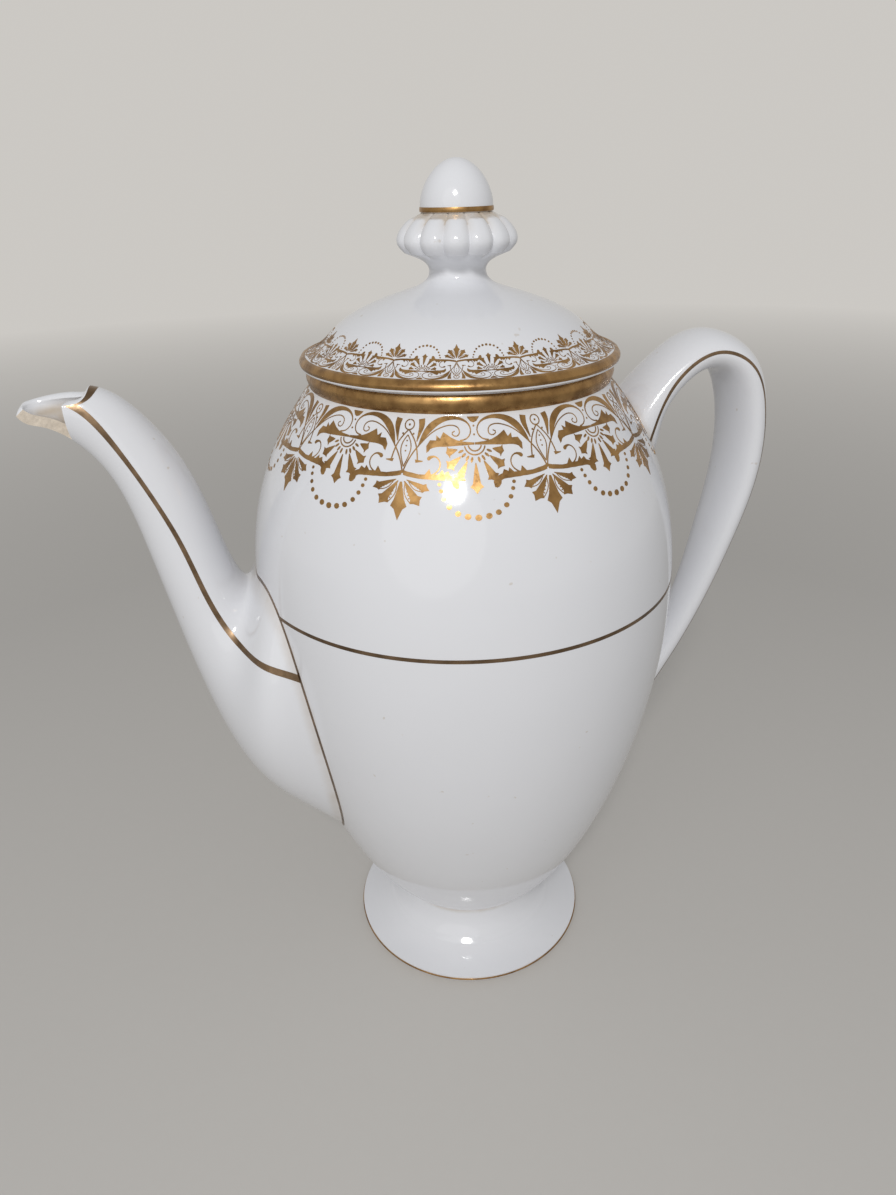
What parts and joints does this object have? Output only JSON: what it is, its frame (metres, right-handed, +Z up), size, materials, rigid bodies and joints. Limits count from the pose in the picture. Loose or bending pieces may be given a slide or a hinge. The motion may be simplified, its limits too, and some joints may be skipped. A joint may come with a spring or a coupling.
{
  "type": "coffee pot",
  "caption": "Tall egg-shaped glazed china coffee pot on a trumpet foot, with a beaked spout, strap handle, gilt bands and a lift-off domed lid with an acorn knob.",
  "frame": {"origin": "on the pot's axis, at the table under the foot", "axes": "+Z up along the pot's axis, -X towards the spout, +X towards the handle"},
  "size_m": [0.201, 0.1204, 0.2401],
  "materials": {
    "porcelain": "clear glossy glaze",
    "gilt": "burnished gold, slightly worn"
  },
  "bodies": {
    "pot": {"vessel": "porcelain", "foot": "porcelain", "spout": "porcelain", "handle": "porcelain", "neck_band": "gilt", "waist_line": "gilt", "foot_line": "gilt"},
    "cover": {"lid": "porcelain", "finial": "porcelain", "lid_band": "gilt", "finial_line": "gilt"}
  },
  "joints": [
    {"name": "lid_lift", "type": "slide", "parent": "pot", "child": "cover", "axis": [0, 0, 1], "range_m": [0, 0.06]}
  ]
}
